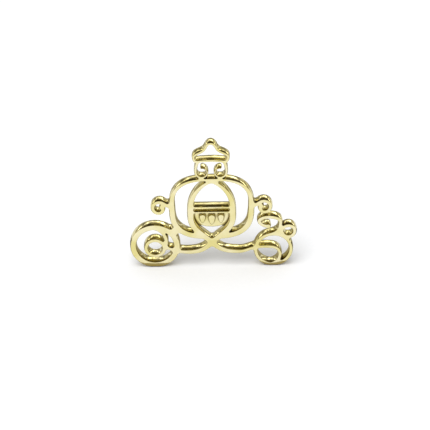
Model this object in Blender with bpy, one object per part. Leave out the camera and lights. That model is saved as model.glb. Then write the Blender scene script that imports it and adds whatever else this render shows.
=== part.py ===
# A coach ornament with a crown on its roof: one openwork casting, flat front and back, that stands
# on its two wheels. The front view lies in the XZ plane with the front wheel towards +X, the
# thickness runs along Y, and the front face looks towards -Y. Sizes are in metres, headings and
# angles in degrees from +X.
import math

import bmesh
import bpy
import numpy as np

# The plate and its bands
PLATE_THICKNESS = 0.0040
EDGE_CHAMFER = 0.00025
BAND_WIDTH = 0.0024
CREST_WIDTH = 0.0013
RAIL_WIDTH = 0.0014
SCROLL_WIDTH = 0.0016
TRIM_WIDTH = 0.0012
KNOB_DIAMETER = 0.0021
FOOT_FLAT_DEPTH = 0.00015
CHORD_ERROR = 0.00003
EDGE_SLACK = 0.00001
WINDING = 2.4

# Body
BODY_WIDTH = 0.0304
BODY_HEIGHT = 0.0252
BODY_CLEARANCE = 0.0116
BODY_SQUARENESS = 2.8
KEEL_DROP = 0.0013
KEEL_HEADING = -48

# Door, its sill and its panel
DOOR_WIDTH = 0.0174
JAMB_LENGTH = 0.0031
SILL_HEIGHT = 0.0138
SILL_BAR_HEIGHT = 0.0009
SILL_SLOT_HEIGHT = 0.0012
PANEL_HEIGHT = 0.0074
PANEL_BOW = 0.0025
PANEL_RECESS = 0.0025
PANEL_THICKNESS = 0.0010
DROP_WIDTH = 0.0025
DROP_HEIGHT = 0.0042
DROP_SPACING = 0.0033
DROP_CLEARANCE = 0.0011
DROP_RELIEF = 0.0016

# Under-bars
UNDERBAR_CLEARANCE = 0.0056

# Wheels
REAR_WHEEL_DIAMETER = 0.0182
REAR_HUB_DIAMETER = 0.0082
REAR_HUB_DROP = 0.0009
REAR_WHEEL_GAP = 0.0009
FRONT_WHEEL_DIAMETER = 0.0144
FRONT_ARM_RISE = 0.0011
FRONT_ARM_REACH = 0.0024
FRONT_WHEEL_GAP = 0.0052
LAMP_RING_DIAMETER = 0.0062
LAMP_ANGLE = 55

# Scrolls
SEAT_SCROLL_WIDTH = 0.0101
SEAT_SCROLL_HEIGHT = 0.0058
SEAT_EYE_DIAMETER = 0.0036
SEAT_SETBACK = 0.0018
SEAT_RISE = 0.0014
SHOULDER_SCROLL_DIAMETER = 0.0066
SHOULDER_RISE = 0.0006
NECK_SCROLL_WIDTH = 0.0054
NECK_SCROLL_HEIGHT = 0.0052
NECK_EYE_DIAMETER = 0.0032
NECK_TIP_WIDTH = 0.0007
NECK_BITE = 0.0003
NECK_STEM_INSET = 0.0009
NECK_GAP = 0.0011
NECK_HEIGHT = 0.0060

# Crown
CROWN_WIDTH = 0.0132
CROWN_HEIGHT = 0.0082


# Points and paths in the front view

def point(x, z):
    return np.array([x, z], float)


def polar(degrees, radius=1.0):
    angle = math.radians(degrees)
    return radius * point(math.cos(angle), math.sin(angle))


def blend(first, last, share):
    return first + (last - first) * share


def arc(centre, radius, start, end, steps=90):
    """Points on a circle from one angle to another, in degrees."""
    return np.array([centre + polar(angle, radius) for angle in np.linspace(start, end, steps)])


def volute(centre, width, height, eye, start, sweep, steps=140):
    """A scroll that winds in from this width and height to its round eye, tighter towards the end."""
    points = []
    for share in np.linspace(0, 1, steps):
        across, up = polar(start + sweep * share)
        wound = share**WINDING
        points.append(centre + point(across * blend(width, eye, wound), up * blend(height, eye, wound)) / 2)
    return np.array(points)


def bend(start, start_heading, end, end_heading, fullness=0.42, steps=60):
    """A smooth curve between two points, leaving and arriving at the given headings."""
    reach = fullness * np.linalg.norm(end - start)
    first = start + polar(start_heading, reach)
    second = end - polar(end_heading, reach)
    shares = np.linspace(0, 1, steps)[:, None]
    rest = 1 - shares
    return rest**3 * start + 3 * rest**2 * shares * first + 3 * rest * shares**2 * second + shares**3 * end


def joined(*runs):
    """Runs that meet end to end, as one path without doubled points."""
    return np.vstack([runs[0]] + [run[1:] for run in runs[1:]])


def mirrored(points):
    return points * point(-1, 1)


def sparse(points):
    """Which of these points to keep: the fewest whose straight chords stay within the chord error."""
    kept = [0]
    for last in range(2, len(points)):
        start, chord = points[kept[-1]], points[last] - points[kept[-1]]
        between = points[kept[-1] + 1:last] - start
        away = np.abs(between[:, 0] * chord[1] - between[:, 1] * chord[0]) / np.linalg.norm(chord)
        if away.max() > CHORD_ERROR:
            kept.append(last - 1)
    return kept + [len(points) - 1]


def beside(path, sideways, half):
    """The points this far to one side of a path, without those that a tight inner bend doubles back."""
    moved = path + sideways * half
    away = np.linalg.norm(moved[:, None] - path[None], axis=2) - half.T
    return moved[away.min(axis=1) > -EDGE_SLACK]


def tapered(path, start_width, end_width):
    """Widths that change evenly along a path."""
    travelled = np.concatenate([[0], np.cumsum(np.linalg.norm(np.diff(path, axis=0), axis=1))])
    return blend(start_width, end_width, travelled / travelled[-1])


def ribbon(path, widths):
    """The outline of a band along a path, with round ends, all of one width or with one for each point."""
    kept = sparse(path)
    half = np.broadcast_to(widths, len(path))[kept][:, None] / 2
    path = path[kept]
    steps = np.diff(path, axis=0)
    steps /= np.linalg.norm(steps, axis=1)[:, None]
    along = np.vstack([steps[:1], steps[:-1] + steps[1:], steps[-1:]])
    along /= np.linalg.norm(along, axis=1)[:, None]
    across = along[:, ::-1] * point(-1, 1)
    left, right = beside(path, across, half), beside(path, -across, half)
    ends = []
    for tip, side, radius in ((path[-1], across[-1], half[-1, 0]), (path[0], -across[0], half[0, 0])):
        heading = math.degrees(math.atan2(side[1], side[0]))
        ends.append(arc(tip, radius, heading, heading - 180, 7)[1:-1])
    return np.vstack([left, ends[0], right[::-1], ends[1]])


def closed_ribbon(path, width):
    """The two outlines of a band along a closed path: one on each side."""
    path = path[sparse(path)[:-1]]
    along = np.roll(path, -1, axis=0) - np.roll(path, 1, axis=0)
    along /= np.linalg.norm(along, axis=1)[:, None]
    across = along[:, ::-1] * point(-1, 1)
    half = np.full((len(path), 1), width / 2)
    return [beside(path, across, half), beside(path, -across, half)[::-1]]


def ring(centre, outer_diameter, width):
    """The two outlines of a round ring: outside and hole."""
    outside = outer_diameter / 2
    quarter = math.ceil(math.pi / 4 / math.acos(1 - CHORD_ERROR / outside))
    return [arc(centre, radius, 0, 360, 4 * quarter + 1)[:-1] for radius in (outside, outside - width)]


def disc(centre, diameter):
    return [arc(centre, diameter / 2, 0, 360, 17)[:-1]]


# The layout, worked out from the sizes above

TOP = BODY_CLEARANCE + BODY_HEIGHT
BODY_CENTRE = point(0, BODY_CLEARANCE + BODY_HEIGHT / 2)
KEEL = point(0, BODY_CLEARANCE - KEEL_DROP)


def body_outline(inset, steps=400):
    """The body's rounded oval, this far inside its outer edge, once round from the bottom."""
    angles = np.linspace(-math.pi / 2, 3 * math.pi / 2, steps + 1)
    cosine, sine = np.cos(angles), np.sin(angles)
    power = 2 / BODY_SQUARENESS
    across = (BODY_WIDTH / 2 - inset) * np.sign(cosine) * np.abs(cosine) ** power
    up = (BODY_HEIGHT / 2 - inset) * np.sign(sine) * np.abs(sine) ** power
    return BODY_CENTRE + np.column_stack([across, up])


def crest_widths(path):
    """The widths of the body's or the door's band: thinner the higher it runs in the upper half."""
    share = (path[:, 1] - BODY_CENTRE[1]) / (BODY_HEIGHT / 2)
    return blend(BAND_WIDTH, CREST_WIDTH, np.clip(share, 0, 1))


def nearest_on_body(place):
    outline = body_outline(0)
    return outline[np.linalg.norm(outline - place, axis=1).argmin()]


def wheel_centre(side, diameter, gap):
    """Where a wheel that stands on the ground is this far clear of the body."""
    height = diameter / 2 - FOOT_FLAT_DEPTH
    near, far = 0.0, BODY_WIDTH + diameter
    for _ in range(50):
        middle = point(side * (near + far) / 2, height)
        clear = np.linalg.norm(nearest_on_body(middle) - middle) - diameter / 2
        if clear < gap:
            near = abs(middle[0])
        else:
            far = abs(middle[0])
    return point(side * far, height)


REAR_WHEEL = wheel_centre(-1, REAR_WHEEL_DIAMETER, REAR_WHEEL_GAP)
REAR_HUB = REAR_WHEEL - point(0, REAR_HUB_DROP)
FRONT_WHEEL = wheel_centre(1, FRONT_WHEEL_DIAMETER, FRONT_WHEEL_GAP)
FRONT_RIM = (FRONT_WHEEL_DIAMETER - SCROLL_WIDTH) / 2
FRONT_BEARING = FRONT_WHEEL + polar(172, FRONT_RIM)


def rear_stay():
    """The small boss that joins the rear wheel's rim to the body."""
    bearing = nearest_on_body(REAR_WHEEL)
    towards = (REAR_WHEEL - bearing) / np.linalg.norm(REAR_WHEEL - bearing)
    return disc(bearing + towards * REAR_WHEEL_GAP / 2, REAR_WHEEL_GAP + BAND_WIDTH)


def door_side():
    """The left side of the door: its arch, jamb and foot, which runs down to the keel."""
    half = (DOOR_WIDTH - BAND_WIDTH) / 2
    spring = BODY_CENTRE[1]
    rise = TOP - CREST_WIDTH - spring
    radius = (half**2 + rise**2) / (2 * half)
    apex = math.degrees(math.acos((half - radius) / radius))
    arch = arc(point(radius - half, spring), radius, apex, 180)
    foot = point(-half, spring - JAMB_LENGTH)
    return joined(arch, [arch[-1], foot], bend(foot, -90, KEEL, KEEL_HEADING))


def underbar(side):
    """The bar that leaves the keel and runs on under the body to the wheel on the other side."""
    low_height = UNDERBAR_CLEARANCE + RAIL_WIDTH / 2
    if side < 0:
        low = point(FRONT_BEARING[0] * 0.62, low_height)
        tail = bend(low, 0, FRONT_BEARING, 8)
    else:
        near = -REAR_WHEEL[0] - REAR_WHEEL_DIAMETER / 2
        low = point(near * 0.72, low_height)
        hub = mirrored(REAR_HUB) + polar(168, (REAR_HUB_DIAMETER - RAIL_WIDTH) / 2)
        tail = bend(low, 0, hub, 28)
    return joined(bend(KEEL, KEEL_HEADING, low, 0), tail)


def door_band(side):
    """One side of the door and the bar under the body that carries on from its foot."""
    upper, lower = door_side(), underbar(side)
    if side > 0:
        upper, lower = mirrored(upper), mirrored(lower)
    return [ribbon(upper, crest_widths(upper))], [ribbon(lower, tapered(lower, BAND_WIDTH, RAIL_WIDTH))]


def body_band():
    """The body's band, open at the bottom between the door's feet, which it ends in."""
    widths = crest_widths(body_outline(0))
    path = body_outline(widths / 2)
    foot = door_side()[::-1]
    gap = -np.interp(path[0, 1], foot[:, 1], foot[:, 0])
    kept = (np.abs(path[:, 0]) > gap) | (path[:, 1] > BODY_CENTRE[1])
    return [ribbon(path[kept], widths[kept])]


def rear_arm():
    """The arm that leaves the rear wheel's rim near its top and winds into its hub ring."""
    rim_radius = (REAR_WHEEL_DIAMETER - BAND_WIDTH) / 2
    hub_radius = (REAR_HUB_DIAMETER - SCROLL_WIDTH) / 2
    points = []
    for share in np.linspace(0, 1, 90):
        eased = share * share * (3 - 2 * share)
        centre = blend(REAR_WHEEL, REAR_HUB, eased)
        points.append(centre + polar(112 - 130 * share, blend(rim_radius, hub_radius, eased)))
    return [ribbon(np.array(points), SCROLL_WIDTH)]


def front_arm():
    """The arm that carries the under-bar on through the front wheel, over and down into its rim."""
    crest = FRONT_WHEEL + point(-0.2 * FRONT_RIM, FRONT_ARM_RISE)
    bow = FRONT_WHEEL + point(FRONT_ARM_REACH, -0.3 * FRONT_RIM)
    foot = FRONT_WHEEL + polar(-98, FRONT_RIM)
    path = joined(bend(FRONT_BEARING, 8, crest, -4), bend(crest, -4, bow, -86), bend(bow, -86, foot, -164))
    return [ribbon(path, tapered(path, RAIL_WIDTH, SCROLL_WIDTH))]


def seat_paths():
    """The S-shaped scroll over the front wheel: its winding, from the outside in, and its tail."""
    width, height = SEAT_SCROLL_WIDTH - SCROLL_WIDTH, SEAT_SCROLL_HEIGHT - SCROLL_WIDTH
    top = FRONT_WHEEL[1] + FRONT_WHEEL_DIAMETER / 2
    centre = point(FRONT_WHEEL[0] - SEAT_SETBACK, top + SEAT_RISE + SEAT_SCROLL_HEIGHT / 2)
    winding = volute(centre, width, height, SEAT_EYE_DIAMETER, 0, 265)
    return winding, bend(winding[0], -90, FRONT_WHEEL + polar(104, FRONT_RIM), 194, 0.5)


def seat_scroll():
    winding, tail = seat_paths()
    return [ribbon(joined(winding[::-1], tail), SCROLL_WIDTH)], disc(winding[-1], KNOB_DIAMETER)


def lamp_ring_centre():
    """Where the lamp ring bites into the front wheel."""
    bite = SCROLL_WIDTH * 0.65
    return FRONT_WHEEL + polar(LAMP_ANGLE, (FRONT_WHEEL_DIAMETER + LAMP_RING_DIAMETER) / 2 - bite)


def lamp_root():
    """The small boss where the lamp ring, the front wheel's rim and the seat scroll meet."""
    tail = seat_paths()[1]
    near = tail[np.linalg.norm(tail - lamp_ring_centre(), axis=1).argmin()]
    low = tail[len(tail) * 3 // 4]
    bearing = FRONT_WHEEL + polar(LAMP_ANGLE, FRONT_WHEEL_DIAMETER / 2)
    return disc(np.mean([near, low, bearing], axis=0), SCROLL_WIDTH * 2)


# The middle of the whole width, measured from the body's middle: the model's origin lies under it
MIDDLE = (REAR_WHEEL[0] - REAR_WHEEL_DIAMETER / 2 + lamp_ring_centre()[0] + LAMP_RING_DIAMETER / 2) / 2


def shoulder_scroll(side):
    """The small scroll that springs from the body's side and curls over and in."""
    size = SHOULDER_SCROLL_DIAMETER - SCROLL_WIDTH
    centre = BODY_CENTRE + point((BODY_WIDTH + SHOULDER_SCROLL_DIAMETER) / 2, SHOULDER_RISE)
    winding = volute(centre, size, size, KNOB_DIAMETER, 130, -330)
    root = BODY_CENTRE + point((BODY_WIDTH - BAND_WIDTH) / 2, SHOULDER_RISE - SCROLL_WIDTH / 2)
    path = joined(bend(root, 70, winding[0], 40), winding)
    if side < 0:
        path = mirrored(path)
    return [ribbon(path, SCROLL_WIDTH)], disc(path[-1], KNOB_DIAMETER)


def neck_scroll(side):
    """One of the two scrolls that carry the crown on the body's top."""
    width, height = NECK_SCROLL_WIDTH - TRIM_WIDTH, NECK_SCROLL_HEIGHT - TRIM_WIDTH
    centre = point(-(NECK_GAP + NECK_SCROLL_WIDTH) / 2, TOP - NECK_BITE + NECK_SCROLL_HEIGHT / 2)
    winding = volute(centre, width, height, NECK_EYE_DIAMETER, 180, 275)
    head = point(winding[0, 0] + NECK_STEM_INSET, TOP + NECK_HEIGHT + TRIM_WIDTH / 2)
    stem = bend(head, -112, winding[0], -90)
    widths = np.concatenate([np.full(len(stem) - 1, TRIM_WIDTH), tapered(winding, TRIM_WIDTH, NECK_TIP_WIDTH)])
    path = joined(stem, winding)
    if side > 0:
        path = mirrored(path)
    return [ribbon(path, widths)]


def crown_band():
    """The crown's centre line: a middle lobe, two side lobes and an arched foot."""
    half, height = (CROWN_WIDTH - TRIM_WIDTH) / 2, CROWN_HEIGHT - TRIM_WIDTH
    foot = point(0, TOP + NECK_HEIGHT + TRIM_WIDTH / 2)

    def place(across, up):
        return foot + point(across * half, up * height)

    stops = [
        (place(0.00, 1.00), 0),
        (place(0.30, 0.78), -62),
        (place(0.48, 0.58), -34),
        (place(0.82, 0.42), -28),
        (place(1.00, 0.20), -94),
        (place(0.84, 0.00), 176),
        (place(0.00, 0.05), 180),
    ]
    right = joined(*[bend(*first, *last) for first, last in zip(stops, stops[1:])])
    return joined(right, mirrored(right[::-1]))


def teardrop(centre, width, height, steps=20):
    """A drop with its round end up and its point down."""
    outline = []
    for turn in np.linspace(0, 2 * math.pi, steps, endpoint=False):
        across = width / 2 * math.sin(turn) * abs(math.sin(turn / 2)) ** 1.2 * 1.12
        outline.append(centre + point(across, -height / 2 * math.cos(turn)))
    return [np.array(outline)]


# Objects

def collection_named(name):
    made = bpy.data.collections.new(name)
    bpy.context.scene.collection.children.link(made)
    return made


def gold():
    material = bpy.data.materials.new("Gold-plated casting")
    material.use_nodes = True
    shader = material.node_tree.nodes["Principled BSDF"]
    shader.inputs["Base Color"].default_value = (0.86, 0.74, 0.36, 1)
    shader.inputs["Metallic"].default_value = 1
    shader.inputs["Roughness"].default_value = 0.16
    material.diffuse_color = (0.86, 0.74, 0.36, 1)
    return material


def flat_solid(name, outlines, front, back, chamfer, collection):
    """A mesh of the given outlines between two depths, front and back, measured along Y."""
    curve = bpy.data.curves.new(name, "CURVE")
    curve.dimensions = "2D"
    curve.fill_mode = "BOTH"
    curve.extrude = (back - front) / 2 - chamfer
    curve.bevel_depth = chamfer
    curve.bevel_resolution = 0
    curve.offset = -chamfer
    for outline in outlines:
        spline = curve.splines.new("POLY")
        spline.points.add(len(outline) - 1)
        for target, (x, z) in zip(spline.points, outline):
            target.co = (x, z, 0, 1)
        spline.use_cyclic_u = True
    drawn = bpy.data.objects.new(name, curve)
    drawn.location = (-MIDDLE, (front + back) / 2, 0)
    drawn.rotation_euler = (math.radians(90), 0, 0)
    collection.objects.link(drawn)
    bpy.context.view_layer.update()
    graph = bpy.context.evaluated_depsgraph_get()
    mesh = bpy.data.meshes.new_from_object(drawn.evaluated_get(graph))
    placed = drawn.matrix_world.copy()
    bpy.data.objects.remove(drawn)
    editable = bmesh.new()
    editable.from_mesh(mesh)
    bmesh.ops.remove_doubles(editable, verts=editable.verts, dist=1e-6)
    bmesh.ops.recalc_face_normals(editable, faces=editable.faces)
    editable.to_mesh(mesh)
    editable.free()
    solid = bpy.data.objects.new(name, mesh)
    solid.matrix_world = placed
    collection.objects.link(solid)
    return solid


def main():
    for old in list(bpy.data.objects):
        bpy.data.objects.remove(old)
    model = collection_named("Coach ornament")
    helpers = collection_named("Bands to join")
    cutters = collection_named("Cutters")
    front, back = -PLATE_THICKNESS / 2, PLATE_THICKNESS / 2

    def band(name, outlines, collection=helpers):
        return flat_solid(name, outlines, front, back, EDGE_CHAMFER, collection)

    coach = band("coach", body_band(), model)

    for side, end in ((-1, "rear"), (1, "front")):
        upper, lower = door_band(side)
        band(f"door_{end}", upper)
        band(f"underbar_from_{end}_jamb", lower)
        scroll, knob = shoulder_scroll(side)
        band(f"shoulder_{end}", scroll)
        band(f"shoulder_knob_{end}", knob)
        band(f"neck_{end}", neck_scroll(side))

    rings = {
        "rear_wheel": (REAR_WHEEL, REAR_WHEEL_DIAMETER, BAND_WIDTH),
        "rear_hub": (REAR_HUB, REAR_HUB_DIAMETER, SCROLL_WIDTH),
        "front_wheel": (FRONT_WHEEL, FRONT_WHEEL_DIAMETER, SCROLL_WIDTH),
        "lamp_ring": (lamp_ring_centre(), LAMP_RING_DIAMETER, SCROLL_WIDTH),
    }
    for name, (centre, diameter, width) in rings.items():
        outside, hole = ring(centre, diameter, width)
        band(name, [outside, hole[::-1]])
    band("rear_arm", rear_arm())
    band("front_arm", front_arm())
    band("rear_stay", rear_stay())
    scroll, knob = seat_scroll()
    band("seat_scroll", scroll)
    band("seat_knob", knob)
    band("lamp_root", lamp_root())

    band("crown", closed_ribbon(crown_band(), TRIM_WIDTH))

    half = (DOOR_WIDTH - BAND_WIDTH) / 2
    sill = BODY_CLEARANCE + SILL_HEIGHT
    lower_sill = sill - SILL_BAR_HEIGHT - SILL_SLOT_HEIGHT
    for name, top in (("sill", sill), ("lower_sill", lower_sill)):
        corners = [point(-half, top), point(half, top)]
        corners += [corner - point(0, SILL_BAR_HEIGHT) for corner in corners[::-1]]
        flat_solid(name, [np.array(corners)], front, back, 0, helpers)
    panel_top = lower_sill - SILL_BAR_HEIGHT / 2
    bow = np.linspace(-1, 1, 25)
    bottom = np.column_stack([half * bow, panel_top - PANEL_HEIGHT + PANEL_BOW * bow**2])
    panel = np.vstack([bottom, [point(half, panel_top), point(-half, panel_top)]])
    panel_front = front + PANEL_RECESS
    panel_back = panel_front + PANEL_THICKNESS
    flat_solid("panel", [panel], panel_front, panel_back, 0, helpers)

    for place, share in ((-1, 0.87), (0, 1), (1, 0.87)):
        height = DROP_HEIGHT * share
        top = lower_sill - SILL_BAR_HEIGHT - DROP_CLEARANCE * share
        drop = teardrop(point(place * DROP_SPACING, top - height / 2), DROP_WIDTH * share, height)
        drop_back = (panel_front + panel_back) / 2
        flat_solid(f"drop_{place + 1}", drop, panel_front - DROP_RELIEF, drop_back, 0, helpers)

    join = coach.modifiers.new("Join the bands", "BOOLEAN")
    join.operation = "UNION"
    join.operand_type = "COLLECTION"
    join.collection = helpers
    join.solver = "EXACT"

    ground = bmesh.new()
    bmesh.ops.create_cube(ground, size=1)
    mesh = bpy.data.meshes.new("ground")
    ground.to_mesh(mesh)
    ground.free()
    cutter = bpy.data.objects.new("ground", mesh)
    cutter.scale = (0.1, 0.02, 0.01)
    cutter.location = (0, 0, -0.005)
    cutters.objects.link(cutter)
    cut = coach.modifiers.new("Flat under the wheels", "BOOLEAN")
    cut.object = cutter
    cut.solver = "EXACT"

    for group in (helpers, cutters):
        group.hide_render = True
        for helper in group.objects:
            helper.hide_render = True
            helper.display_type = "WIRE"
    coach.data.materials.append(gold())


main()
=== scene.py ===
import math

import bmesh
import bpy
import numpy as np
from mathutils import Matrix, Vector


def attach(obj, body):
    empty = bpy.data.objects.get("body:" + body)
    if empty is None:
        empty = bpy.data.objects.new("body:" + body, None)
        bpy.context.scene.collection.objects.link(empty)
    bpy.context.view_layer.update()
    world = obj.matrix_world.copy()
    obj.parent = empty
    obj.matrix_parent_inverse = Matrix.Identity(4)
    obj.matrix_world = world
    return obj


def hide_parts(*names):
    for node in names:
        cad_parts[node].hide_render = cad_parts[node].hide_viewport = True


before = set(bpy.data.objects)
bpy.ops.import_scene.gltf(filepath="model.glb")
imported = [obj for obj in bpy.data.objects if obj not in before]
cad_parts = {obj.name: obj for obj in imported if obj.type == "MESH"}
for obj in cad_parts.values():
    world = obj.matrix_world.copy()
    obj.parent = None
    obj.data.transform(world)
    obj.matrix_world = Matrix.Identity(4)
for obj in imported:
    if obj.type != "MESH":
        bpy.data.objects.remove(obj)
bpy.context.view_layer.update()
mm = 0.001
samePoint = 1e-6                 # metres: points that are closer than this are one


def workOn(piece):
    # one piece alone is selected, so that an operator acts on nothing else
    if bpy.context.mode != "OBJECT":
        bpy.ops.object.mode_set(mode="OBJECT")
    bpy.ops.object.select_all(action="DESELECT")
    piece.select_set(True)
    bpy.context.view_layer.objects.active = piece


def editing(piece):
    workOn(piece)
    bpy.ops.object.mode_set(mode="EDIT")
    bpy.ops.mesh.select_all(action="DESELECT")
    return bmesh.from_edit_mesh(piece.data)


def picked(mesh, test, kind="VERT"):
    # selects the vertices or edges that pass the test, and says how many there are
    bpy.ops.mesh.select_mode(type=kind)
    bpy.ops.mesh.select_all(action="DESELECT")
    count = 0
    for item in mesh.verts if kind == "VERT" else mesh.edges:
        if test(item):
            item.select_set(True)
            count += 1
    mesh.select_flush_mode()
    return count


def placed(piece):
    # place, turn and size go into the mesh
    workOn(piece)
    bpy.ops.object.transform_apply(location=True, rotation=True, scale=True)


def done(piece, smoothAngle=50):
    # its place goes into its mesh, and it is shaded smooth. An edge that is sharper than the angle is marked
    # sharp and stays so in later calls
    placed(piece)
    bpy.ops.object.shade_smooth_by_angle(angle=math.radians(smoothAngle))


def evenShading(piece):
    # large flat faces keep a flat look beside their rounded edges
    workOn(piece)
    modifier = piece.modifiers.new("EvenShading", "WEIGHTED_NORMAL")
    modifier.keep_sharp = True
    bpy.ops.object.modifier_apply(modifier=modifier.name)


# The openwork: its outline comes from the plain solid, cut through behind the door panel
openwork = {
    "cutDepth": 1.6 * mm,
    "crumb": 0.02 * mm,          # edges of the cut shorter than this are dropped
    "straightTurn": 0.6,         # degrees: a smaller turn in the cut is no turn
    "footBand": 0.01 * mm,       # points this near the ground belong to the flat feet
    "curveSteps": 8,
    "spacing": 0.24 * mm,        # between the points of the outline
    "splitShare": 1.3,           # an edge longer than this share of the spacing is halved
    "mergeShare": 0.6,           # and points nearer than this share of it are merged
    "sharpTurn": 30,             # a turn over this many degrees is a corner, which the casting rounds off
    "narrowGap": 0.38 * mm,      # a notch is filled with metal up to this width
    "filletReach": 0.55 * mm,    # how far from a corner its rounding runs
    "filletPasses": 6,
    "filletPull": 0.5,           # how far each pass moves a point towards the middle of its neighbours
    "halfDepth": 2.0 * mm,
    "wallSwell": 15,             # degrees that the swollen wall leans in where its rounded edge starts
    "swellDepth": 1.45 * mm,     # how much of each half of the wall the swell takes
    "swellSteps": 3,
    "roundWidth": 0.42 * mm,     # how far swell and rounded edge together reach in over the face
    "roundSteps": 5,
    "smoothAngle": 40,
}


def turnAt(before, here, after):
    return math.degrees((here - before).angle(after - here, 0))


def loopsOf(mesh):
    # the outline's closed runs of vertices, each in order
    left, loops = set(mesh.verts), []
    while left:
        here = left.pop()
        loop = [here]
        while True:
            ahead = [edge.other_vert(here) for edge in here.link_edges if edge.other_vert(here) in left]
            if not ahead:
                break
            here = ahead[0]
            left.discard(here)
            loop.append(here)
        loops.append(loop)
    return loops


def cutOutline():
    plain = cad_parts["coach"]
    outline = plain.copy()
    outline.data = plain.data.copy()
    outline.name = "openwork"
    outline.parent = None
    outline.rotation_mode = "XYZ"
    outline.data.materials.clear()
    bpy.context.collection.objects.link(outline)
    editing(outline)
    bpy.ops.mesh.select_all(action="SELECT")
    bpy.ops.mesh.remove_doubles(threshold=samePoint)
    bpy.ops.mesh.bisect(
        plane_co=(0, openwork["cutDepth"], 0), plane_no=(0, 1, 0),
        threshold=samePoint, clear_inner=True, clear_outer=True)
    bpy.ops.mesh.select_all(action="SELECT")
    bpy.ops.mesh.dissolve_degenerate(threshold=openwork["crumb"])
    bpy.ops.mesh.select_all(action="SELECT")
    bpy.ops.mesh.dissolve_limited(angle_limit=math.radians(openwork["straightTurn"]))
    bpy.ops.object.mode_set(mode="OBJECT")
    outline.rotation_euler = (math.radians(-90), 0, 0)    # laid down flat, up now along Y
    placed(outline)
    bpy.ops.transform.resize(value=(1, 1, 0))
    placed(outline)
    return outline


def smoothCurves(outline):
    # the straight chords of the plain solid become curves, with the corners and the flat feet kept
    workOn(outline)
    bpy.ops.object.convert(target="CURVE")
    bpy.ops.object.mode_set(mode="EDIT")
    bpy.ops.curve.select_all(action="SELECT")
    bpy.ops.curve.spline_type_set(type="BEZIER")
    bpy.ops.curve.handle_type_set(type="AUTOMATIC")
    bpy.ops.object.mode_set(mode="OBJECT")
    for spline in outline.data.splines:
        points = spline.bezier_points
        for i, here in enumerate(points):
            after = points[(i + 1) % len(points)]
            sharp = turnAt(points[i - 1].co, here.co, after.co) > openwork["sharpTurn"]
            if sharp or abs(here.co.y) < openwork["footBand"]:
                here.handle_left_type = here.handle_right_type = "VECTOR"
    outline.data.resolution_u = openwork["curveSteps"]
    bpy.ops.object.convert(target="MESH")


def splitLong():
    # halves the edges until each is near the spacing or shorter
    mesh = bmesh.from_edit_mesh(bpy.context.object.data)
    longest = openwork["spacing"] * openwork["splitShare"]
    while picked(mesh, lambda edge: edge.calc_length() > longest, "EDGE"):
        bpy.ops.mesh.subdivide(number_cuts=1)
        mesh = bmesh.from_edit_mesh(bpy.context.object.data)


def roundCorners(outline):
    # a narrow notch loses all points that are closer than the gap, then each corner is smoothed round
    mesh = editing(outline)
    tips, corners = set(), []
    for loop in loopsOf(mesh):
        count = len(loop)
        for i, vert in enumerate(loop):
            if turnAt(loop[i - 1].co, vert.co, loop[(i + 1) % count].co) < openwork["sharpTurn"]:
                continue
            corners.append(vert.co.copy())
            for step in range(1, count // 3):
                left, right = loop[(i - step) % count], loop[(i + step) % count]
                if (left.co - right.co).length > openwork["narrowGap"]:
                    break
                tips.update((vert, left, right))
                corners[-1] = (left.co + right.co) / 2
    print("openwork:", len(corners), "corners rounded,", len(tips), "points filled over")
    picked(mesh, lambda vert: vert in tips)
    bpy.ops.mesh.dissolve_verts()
    bpy.ops.mesh.select_all(action="SELECT")
    bpy.ops.mesh.remove_doubles(threshold=openwork["spacing"] * openwork["mergeShare"])
    splitLong()
    mesh = bmesh.from_edit_mesh(outline.data)
    reach = openwork["filletReach"]
    picked(mesh, lambda vert: any((vert.co - corner).length < reach for corner in corners))
    bpy.ops.mesh.vertices_smooth(factor=openwork["filletPull"], repeat=openwork["filletPasses"])
    bpy.ops.object.mode_set(mode="OBJECT")


def area(spline):
    # above zero where the spline runs counterclockwise
    points = np.array([point.co[:2] for point in spline.points])
    ahead = np.roll(points, -1, axis=0)
    return (points[:, 0] * ahead[:, 1] - ahead[:, 0] * points[:, 1]).sum() / 2


def turnHoles(curve):
    # the outside runs one way round and the holes the other, so that the edge leans the right way on each
    splines = curve.data.splines
    outside = max(splines, key=lambda spline: abs(area(spline)))
    turned = [spline for spline in splines if (area(spline) > 0) != (spline == outside)]
    bpy.ops.object.mode_set(mode="EDIT")
    bpy.ops.curve.select_all(action="DESELECT")
    for spline in turned:
        for point in spline.points:
            point.select = True
    bpy.ops.curve.switch_direction()
    bpy.ops.object.mode_set(mode="OBJECT")


def wallProfile():
    # inset and depth, from the middle of the wall to the face: a slow swell, then a quarter round
    lean = math.radians(openwork["wallSwell"])
    swellRadius = openwork["swellDepth"] / math.sin(lean)
    edgeRadius = (openwork["roundWidth"] - swellRadius * (1 - math.cos(lean))) / math.cos(lean)
    places = []
    for i in range(openwork["swellSteps"] + 1):
        turn = lean * i / openwork["swellSteps"]
        places.append((swellRadius * (1 - math.cos(turn)), swellRadius * math.sin(turn)))
    inset, depth = places[-1]
    for i in range(1, openwork["roundSteps"] + 1):
        turn = lean + (math.pi / 2 - lean) * i / openwork["roundSteps"]
        places.append((inset + edgeRadius * (math.cos(lean) - math.cos(turn)),
                       depth + edgeRadius * (math.sin(turn) - math.sin(lean))))
    return places


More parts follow.
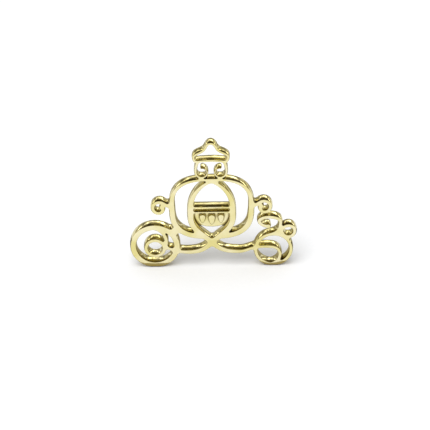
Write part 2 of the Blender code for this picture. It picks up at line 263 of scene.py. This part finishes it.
def castOpenwork():
    outline = cutOutline()
    smoothCurves(outline)
    roundCorners(outline)
    workOn(outline)
    bpy.ops.object.convert(target="CURVE")
    flat = outline.data
    flat.dimensions = "2D"
    turnHoles(outline)
    places = wallProfile()
    width, depth = places[-1]
    stretch = depth / width      # a curve's edge is as deep as it is wide, so it is stretched afterwards
    flat.fill_mode = "BOTH"
    flat.extrude = openwork["halfDepth"] / stretch - width
    flat.bevel_mode = "PROFILE"
    for inset, down in places[1:-1]:
        flat.bevel_profile.points.add(1 - inset / width, down / depth)
    flat.bevel_profile.update()
    flat.bevel_depth = width
    flat.bevel_resolution = len(places) - 2
    flat.offset = -width
    bpy.ops.object.convert(target="MESH")
    outline.scale = (1, 1, stretch)
    outline.rotation_euler = (math.radians(90), 0, 0)     # stood up again
    placed(outline)
    editing(outline)
    bpy.ops.mesh.select_all(action="SELECT")
    bpy.ops.mesh.remove_doubles(threshold=samePoint)
    bpy.ops.mesh.normals_make_consistent(inside=False)
    done(outline, openwork["smoothAngle"])
    evenShading(outline)
    return outline


openworkPiece = castOpenwork()
print("openwork cast")

# The door panel: a thin plate set deep in the door, its lower edge bowed down, closed above by the sill
panel = {
    "halfWidth": 7.5 * mm,
    "top": 22.85 * mm,
    "height": 7.4 * mm,
    "bow": 2.5 * mm,
    "bowCuts": 23,
    "front": 0.5 * mm,
    "thickness": 1.0 * mm,
    "middle": -0.42 * mm,
    "edgeRound": 0.22 * mm,
    "smoothAngle": 35,
}


def widthOf(edge):
    # how far the edge reaches from left to right
    return abs((edge.verts[0].co - edge.verts[1].co).x)


def castPanel():
    low = panel["top"] - panel["height"]
    bpy.ops.mesh.primitive_cube_add(size=1, location=(
        panel["middle"], panel["front"] + panel["thickness"] / 2, panel["top"] - panel["height"] / 2))
    plate = bpy.context.object
    plate.name = "doorPanel"
    plate.scale = (2 * panel["halfWidth"], panel["thickness"], panel["height"])
    done(plate)
    mesh = editing(plate)
    picked(mesh, lambda edge: widthOf(edge) > panel["halfWidth"], "EDGE")
    bpy.ops.mesh.subdivide(number_cuts=panel["bowCuts"])
    mesh = bmesh.from_edit_mesh(plate.data)
    for vert in mesh.verts:
        if vert.co.z < low + samePoint:
            share = (vert.co.x - panel["middle"]) / panel["halfWidth"]
            vert.co.z += panel["bow"] * share**2
    bowEnd = low + panel["bow"]

    def onTheBow(edge):
        return widthOf(edge) > samePoint and all(vert.co.z < bowEnd for vert in edge.verts)

    picked(mesh, onTheBow, "EDGE")
    bpy.ops.mesh.bevel(offset=panel["edgeRound"], segments=3, profile=0.5)
    done(plate, panel["smoothAngle"])
    evenShading(plate)
    return plate


# The three drops on it: one is modelled, the side ones are smaller copies
drops = {
    "width": 2.5 * mm,
    "height": 4.2 * mm,
    "sides": 40,
    "pinch": 0.25,               # share of its width that the drop loses on the way down, beyond its round
    "top": 21.3 * mm,
    "front": -1.1 * mm,
    "back": 1.0 * mm,
    "spacing": 3.3 * mm,
    "sideShare": 0.87,
    "sideLift": 0.14 * mm,       # the side drops hang a little higher
    "edgeRound": 0.38 * mm,
    "smoothAngle": 35,
}


def castDrops():
    radius, depth = drops["width"] / 2, drops["back"] - drops["front"]
    bpy.ops.mesh.primitive_cylinder_add(
        vertices=drops["sides"], radius=radius, depth=depth, rotation=(math.radians(90), 0, 0),
        location=(0, (drops["back"] + drops["front"]) / 2, -radius))
    drop = bpy.context.object
    drop.name = "panelDropMiddle"
    done(drop)
    mesh = editing(drop)
    for vert in mesh.verts:      # the lower half is drawn down to a blunt point
        if vert.co.z < -radius:
            low = -(vert.co.z + radius) / radius
            vert.co.z = -radius - low * (drops["height"] - radius)
            vert.co.x *= (1 - low * drops["pinch"])
    face = drops["front"] + samePoint
    picked(mesh, lambda edge: all(vert.co.y < face for vert in edge.verts), "EDGE")
    bpy.ops.mesh.bevel(offset=drops["edgeRound"], segments=5, profile=0.5)
    done(drop, drops["smoothAngle"])
    made = []
    for place, name in ((-1, "panelDropRear"), (1, "panelDropFront"), (0, "panelDropMiddle")):
        piece = drop
        if place:
            workOn(drop)
            bpy.ops.object.duplicate()
            piece = bpy.context.object
            piece.name = name
            piece.scale = (drops["sideShare"], 1, drops["sideShare"])
        across = panel["middle"] + place * drops["spacing"]
        piece.location = (across, 0, drops["top"] + abs(place) * drops["sideLift"])
        done(piece, drops["smoothAngle"])
        evenShading(piece)
        made.append(piece)
    return made


panelPiece = castPanel()
dropPieces = castDrops()
print("panel and drops cast")


# Materials
def linear(hexColour):
    parts = [int(hexColour[i:i + 2], 16) / 255 for i in (1, 3, 5)]
    return tuple(c / 12.92 if c <= 0.04045 else ((c + 0.055) / 1.055) ** 2.4 for c in parts) + (1,)


def addNode(tree, kind, settings=None, links=None):
    # a node with its settings, its sockets by name or number, and what feeds them
    node = tree.nodes.new(kind)
    for name, value in (settings or {}).items():
        if isinstance(name, str) and hasattr(node, name):
            setattr(node, name, value)
        else:
            node.inputs[name].default_value = value
    for name, source in (links or {}).items():
        tree.links.new(source, node.inputs[name])
    return node


def freshMaterial(name):
    made = bpy.data.materials.new(name)
    made.use_nodes = True
    made.node_tree.nodes.clear()
    return made, made.node_tree


# The plating: sRGB colours, and sizes as on the object
plating = {
    "warm": "#E4D993",
    "pale": "#F0E7BC",
    "toneSize": 7 * mm,
    "wallShade": "#E0DDCE",           # painted shade: what the walls' colour is multiplied by
    "corner": "#7A6A40",         # and the corners' colour, painted shade in the corners
    "cornerReach": 0.8 * mm,
    "smoothest": 0.07,           # roughness where the wheel rubbed most, and least
    "roughest": 0.15,
    "rubSize": 1.1 * mm,
    "waveSize": 3.2 * mm,
    "waveDepth": 0.10 * mm,
    "pitDepth": 0.006 * mm,
}


def goldPlate():
    # bright pale gold plating over a polished brass casting: a mirror, softened by slight polishing waves.
    # A mix node has a socket of each name for each kind of value: 6 and 7 are its colours A and B, and its
    # output 2 is the colour that comes out. The values of a noise lie mostly between 0.3 and 0.7
    made, tree = freshMaterial("polishedGoldPlateOverCastBrass")
    coordinates = addNode(tree, "ShaderNodeTexCoord").outputs
    place = coordinates["Object"]
    broad = addNode(tree, "ShaderNodeTexNoise",
                    {"Scale": 1 / plating["toneSize"], "Detail": 2.0, "Roughness": 0.5}, {"Vector": place})
    fine = addNode(tree, "ShaderNodeTexNoise",
                   {"Scale": 1 / plating["rubSize"], "Detail": 4.0, "Roughness": 0.6}, {"Vector": place})
    waves = addNode(tree, "ShaderNodeTexNoise",
                    {"Scale": 1 / plating["waveSize"], "Detail": 1.0, "Roughness": 0.4}, {"Vector": place})
    # the plating is a little warmer where it is thicker
    tone = addNode(tree, "ShaderNodeValToRGB", links={"Fac": broad.outputs["Fac"]})
    warm, pale = tone.color_ramp.elements
    warm.position, warm.color = 0.36, linear(plating["warm"])
    pale.position, pale.color = 0.64, linear(plating["pale"])
    # painted shade: the walls between the two faces turn away from the front, and their gold colour is
    # darkened there
    facing = addNode(tree, "ShaderNodeSeparateXYZ", links={"Vector": coordinates["Normal"]}).outputs["Y"]
    facing = addNode(tree, "ShaderNodeMath", {"operation": "ABSOLUTE"}, {0: facing}).outputs["Value"]
    wallShade = addNode(tree, "ShaderNodeMapRange", {"From Min": 0.9, "From Max": 0.6}, {"Value": facing})
    wallShaded = addNode(tree, "ShaderNodeMix",
                     {"data_type": "RGBA", "blend_type": "MULTIPLY", 7: linear(plating["wallShade"])},
                     {"Factor": wallShade.outputs["Result"], 6: tone.outputs["Color"]})
    # and painted shade, darkest in the corners round the drops and beside the panel, wherever other metal
    # lies near
    corner = addNode(tree, "ShaderNodeAmbientOcclusion", {"samples": 8, "Distance": plating["cornerReach"]})
    cornerShadeMask = addNode(tree, "ShaderNodeMapRange", {"From Min": 0.95, "From Max": 0.6},
                    {"Value": corner.outputs["AO"]})
    cornerShaded = addNode(tree, "ShaderNodeMix",
                    {"data_type": "RGBA", "blend_type": "MULTIPLY", 7: linear(plating["corner"])},
                    {"Factor": cornerShadeMask.outputs["Result"], 6: wallShaded.outputs[2]})
    rub = addNode(tree, "ShaderNodeMapRange",
                  {"From Min": 0.3, "From Max": 0.7,
                   "To Min": plating["smoothest"], "To Max": plating["roughest"]},
                  {"Value": fine.outputs["Fac"]})
    wavy = addNode(tree, "ShaderNodeBump", {"Strength": 1.0, "Distance": plating["waveDepth"]},
                   {"Height": waves.outputs["Fac"]})
    pits = addNode(tree, "ShaderNodeBump", {"Strength": 0.5, "Distance": plating["pitDepth"]},
                   {"Height": fine.outputs["Fac"], "Normal": wavy.outputs["Normal"]})
    shader = addNode(tree, "ShaderNodeBsdfPrincipled", {"Metallic": 1.0},
                     {"Base Color": cornerShaded.outputs[2], "Roughness": rub.outputs["Result"],
                      "Normal": pits.outputs["Normal"]})
    addNode(tree, "ShaderNodeOutputMaterial", links={"Surface": shader.outputs["BSDF"]})
    return made


gold = goldPlate()
for piece in [openworkPiece, panelPiece] + dropPieces:
    piece.data.materials.clear()
    piece.data.materials.append(gold)
    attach(piece, "root")
    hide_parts("coach")
print("gold plated")

# Studio: white paper floor, a big soft light above, and a room that only the metal's reflections see.
# Lengths are metres and angles are degrees
studio = {
    "target": (0.76 * mm, -2.0 * mm, 21.9 * mm),
    "elevation": 31.5,
    "distance": 0.4235,
    "lens": 100,
    "roll": 0.8,                 # the camera was held a little askew
    "clip": (0.01, 20),
    "floorSize": 6,
    "fibreScale": 900.0,
    "paperTones": (0.86, 0.9),
    "keyFrom": (-0.25, -0.45, 1.0),
    "keyStrength": 1.9,
    "keyBreadth": 50,
    "fill": 0.7,
    "fillTint": (0.97, 0.98, 1.0, 1),
    "backdrop": 1.1,
    "skyRadius": 2.5,
    # the room's bands from the horizon behind, over the top, to the one in front: angle, colour, strength
    "sky": (
        (0, "#C4C0B0", 1.0),
        (8, "#B0AC9C", 1.0),
        (20, "#9E9A8A", 1.0),
        (25, "#FFFDF4", 3.0),
        (29, "#FFFDF4", 2.8),
        (33, "#989280", 1.0),
        (45, "#6C6448", 1.0),
        (54, "#3E3318", 1.0),
        (88, "#3E3318", 1.0),
        (112, "#A0977C", 1.0),
        (140, "#CEC9BA", 1.0),
        (180, "#F4F0E4", 1.0),
    ),
    "sideWall": "#F4F0E4",
    "sideStart": 0.72,           # the side wall's colour comes in between these shares of the radius
    "sideFull": 0.97,
    "skyPatch": 0.45,            # metres: size of the lighter and darker patches on the room's walls
    "patchDarkest": 0.35,
    "patchLightest": 1.75,
    "patchFade": (0.35, 0.6),    # the patches end between these shares of the way from back to front
    "cardHeight": 0.02 * mm,
    # dark cards that lie on the floor for the metal alone: middle, size, share of the near edge kept, colour
    "cards": {
        "cardLeft": ((-98 * mm, 0), (124 * mm, 52 * mm), 1, "#5E5634"),
        "cardRight": ((98 * mm, 0), (124 * mm, 52 * mm), 1, "#5E5634"),
        # painted shadow: a darker card under the object, where its own shadow would show in the metal's
        # reflections
        "shadowCardUnder": ((0, 0), (72 * mm, 9 * mm), 1, "#A69A76"),
        "cardClose": ((0, 18 * mm), (66 * mm, 26 * mm), 1, "#AEA78E"),
        "cardBehind": ((0, 122 * mm), (330 * mm, 230 * mm), 0.03, "#AEA78E"),
    },
}


def paperFloor():
    # matt white paper: no gloss, and a tone that its fibres vary a little. They are drawn about 1 mm wide,
    # much wider than real ones, or they wouldn't show
    bpy.ops.mesh.primitive_plane_add(size=studio["floorSize"], location=(0, 0, 0))
    floor = bpy.context.object
    floor.name = "floor"
    made, tree = freshMaterial("mattWhitePaper")
    place = addNode(tree, "ShaderNodeTexCoord").outputs["Object"]
    darker, paler = studio["paperTones"]
    fibre = addNode(tree, "ShaderNodeTexNoise", {"Scale": studio["fibreScale"], "Detail": 3.0},
                    {"Vector": place})
    tone = addNode(tree, "ShaderNodeMapRange", {"To Min": darker, "To Max": paler},
                   {"Value": fibre.outputs["Fac"]})
    shader = addNode(tree, "ShaderNodeBsdfPrincipled", {"Roughness": 0.9, "Specular IOR Level": 0.1},
                     {"Base Color": tone.outputs["Result"]})
    addNode(tree, "ShaderNodeOutputMaterial", links={"Surface": shader.outputs["BSDF"]})
    floor.data.materials.append(made)


def glowing(name, colour):
    made, tree = freshMaterial(name)
    glow = addNode(tree, "ShaderNodeEmission", {"Color": linear(colour)})
    addNode(tree, "ShaderNodeOutputMaterial", links={"Surface": glow.outputs["Emission"]})
    return made


def onlyMirrored(piece):
    piece.visible_camera = piece.visible_diffuse = piece.visible_shadow = False
    piece.visible_transmission = piece.visible_volume_scatter = False


def mirroredRoom():
    # a dome whose bands run from left to right: they give the walls that face up their streaks
    radius = studio["skyRadius"]
    bpy.ops.mesh.primitive_uv_sphere_add(segments=48, ring_count=24, radius=radius)
    room = bpy.context.object
    room.name = "mirroredRoom"
    bpy.ops.object.shade_smooth()
    made, tree = freshMaterial("mirroredRoomWall")
    place = addNode(tree, "ShaderNodeTexCoord").outputs["Object"]
    parts = addNode(tree, "ShaderNodeSeparateXYZ", links={"Vector": place}).outputs
    angle = addNode(tree, "ShaderNodeMath", {"operation": "ARCTAN2"}, {0: parts["Z"], 1: parts["Y"]})
    share = addNode(tree, "ShaderNodeMath", {"operation": "DIVIDE", 1: math.pi}, {0: angle.outputs["Value"]})
    tone = addNode(tree, "ShaderNodeValToRGB", links={"Fac": share.outputs["Value"]})
    stops = tone.color_ramp.elements
    while len(stops) < len(studio["sky"]):
        stops.new(0.5)
    for stop, (degrees, colour, strength) in zip(stops, studio["sky"]):
        stop.position = degrees / 180
        stop.color = [c * strength for c in linear(colour)[:3]] + [1]
    aside = addNode(tree, "ShaderNodeMath", {"operation": "ABSOLUTE"}, {0: parts["X"]})
    beside = addNode(tree, "ShaderNodeMapRange",
                     {"From Min": studio["sideStart"] * radius, "From Max": studio["sideFull"] * radius},
                     {"Value": aside.outputs["Value"]})
    mixed = addNode(tree, "ShaderNodeMix", {"data_type": "RGBA", 7: linear(studio["sideWall"])},
                    {"Factor": beside.outputs["Result"], 6: tone.outputs["Color"]})
    patches = addNode(tree, "ShaderNodeTexNoise", {"Scale": 1 / studio["skyPatch"], "Detail": 1.0},
                      {"Vector": place})
    patchy = addNode(tree, "ShaderNodeMapRange",
                     {"From Min": 0.38, "From Max": 0.62,
                      "To Min": studio["patchDarkest"], "To Max": studio["patchLightest"]},
                     {"Value": patches.outputs["Fac"]})
    # the patches end towards the front. 0, 2 and 3 are the mix node's factor and its plain numbers A and B
    fadeStart, fadeEnd = studio["patchFade"]
    front = addNode(tree, "ShaderNodeMapRange", {"From Min": fadeStart, "From Max": fadeEnd},
                    {"Value": share.outputs["Value"]})
    strength = addNode(tree, "ShaderNodeMix", {3: 1.0},
                       {0: front.outputs["Result"], 2: patchy.outputs["Result"]})
    glow = addNode(tree, "ShaderNodeEmission",
                   links={"Color": mixed.outputs[2], "Strength": strength.outputs[0]})
    addNode(tree, "ShaderNodeOutputMaterial", links={"Surface": glow.outputs["Emission"]})
    room.data.materials.append(made)
    onlyMirrored(room)


def layCards():
    for name, (middle, size, nearShare, colour) in studio["cards"].items():
        bpy.ops.mesh.primitive_plane_add(size=1, location=(*middle, studio["cardHeight"]))
        card = bpy.context.object
        card.name = name
        card.scale = (*size, 1)
        for vert in card.data.vertices:
            if vert.co.y < 0:
                vert.co.x *= nearShare
        card.data.materials.append(glowing(name + "Paper", colour))
        onlyMirrored(card)


def keyLight():
    # as broad as a big soft box, and so far off that it lights all of the floor alike
    keyFrom = Vector(studio["keyFrom"])
    bpy.ops.object.light_add(type="SUN", location=keyFrom)
    lamp = bpy.context.object
    lamp.name = "softKey"
    lamp.data.energy = studio["keyStrength"]
    lamp.data.angle = math.radians(studio["keyBreadth"])
    lamp.rotation_euler = (-keyFrom).to_track_quat("-Z", "Y").to_euler()
    lamp.visible_glossy = False


def paleWorld():
    # fills the shadows, and behind the floor's edge it shows as white as the floor
    world = bpy.data.worlds.new("studio")
    world.use_nodes = True
    tree = world.node_tree
    seen = addNode(tree, "ShaderNodeLightPath").outputs["Is Camera Ray"]
    strength = addNode(tree, "ShaderNodeMapRange", {"To Min": studio["fill"], "To Max": studio["backdrop"]},
                       {"Value": seen})
    background = tree.nodes["Background"].inputs
    background["Color"].default_value = studio["fillTint"]
    tree.links.new(strength.outputs["Result"], background["Strength"])
    bpy.context.scene.world = world


def setCamera():
    angle = math.radians(studio["elevation"])
    back = Vector((0, -math.cos(angle), math.sin(angle))) * studio["distance"]
    bpy.ops.object.camera_add(location=Vector(studio["target"]) + back)
    camera = bpy.context.object
    camera.rotation_euler = (math.radians(90 - studio["elevation"]), 0, 0)
    camera.rotation_euler.rotate_axis("Z", math.radians(-studio["roll"]))
    camera.data.lens = studio["lens"]
    camera.data.clip_start, camera.data.clip_end = studio["clip"]
    bpy.context.scene.camera = camera


paperFloor()
mirroredRoom()
layCards()
keyLight()
paleWorld()
bpy.context.scene.view_settings.view_transform = "Standard"
setCamera()
print("studio set")
